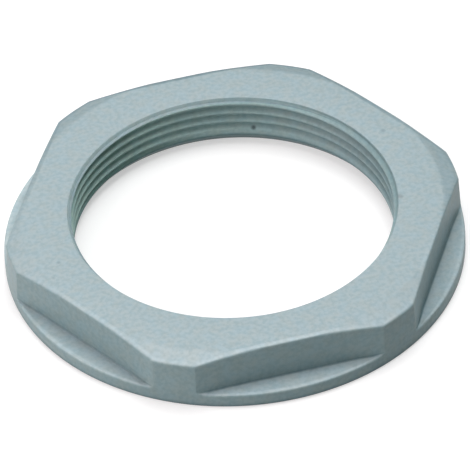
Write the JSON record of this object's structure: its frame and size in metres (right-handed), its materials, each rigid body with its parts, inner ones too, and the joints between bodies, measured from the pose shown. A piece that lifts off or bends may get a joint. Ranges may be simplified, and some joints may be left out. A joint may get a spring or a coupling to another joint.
{
  "type": "cable gland locknut",
  "caption": "Low hexagonal plastic locknut with a round collar and a fine internal thread, which clamps a cable gland to a panel.",
  "frame": {"origin": "on the thread's axis in the seating face, which is the collar's underside", "axes": "+Z along the thread's axis from the seating face to the top face, +Y square to one of the spanner flats"},
  "size_m": [0.0664, 0.0664, 0.0084],
  "materials": {
    "grey_polyamide": "fine matte moulded surface with a faint mottle"
  },
  "bodies": {
    "root": {"locknut": "grey_polyamide"}
  },
  "joints": []
}
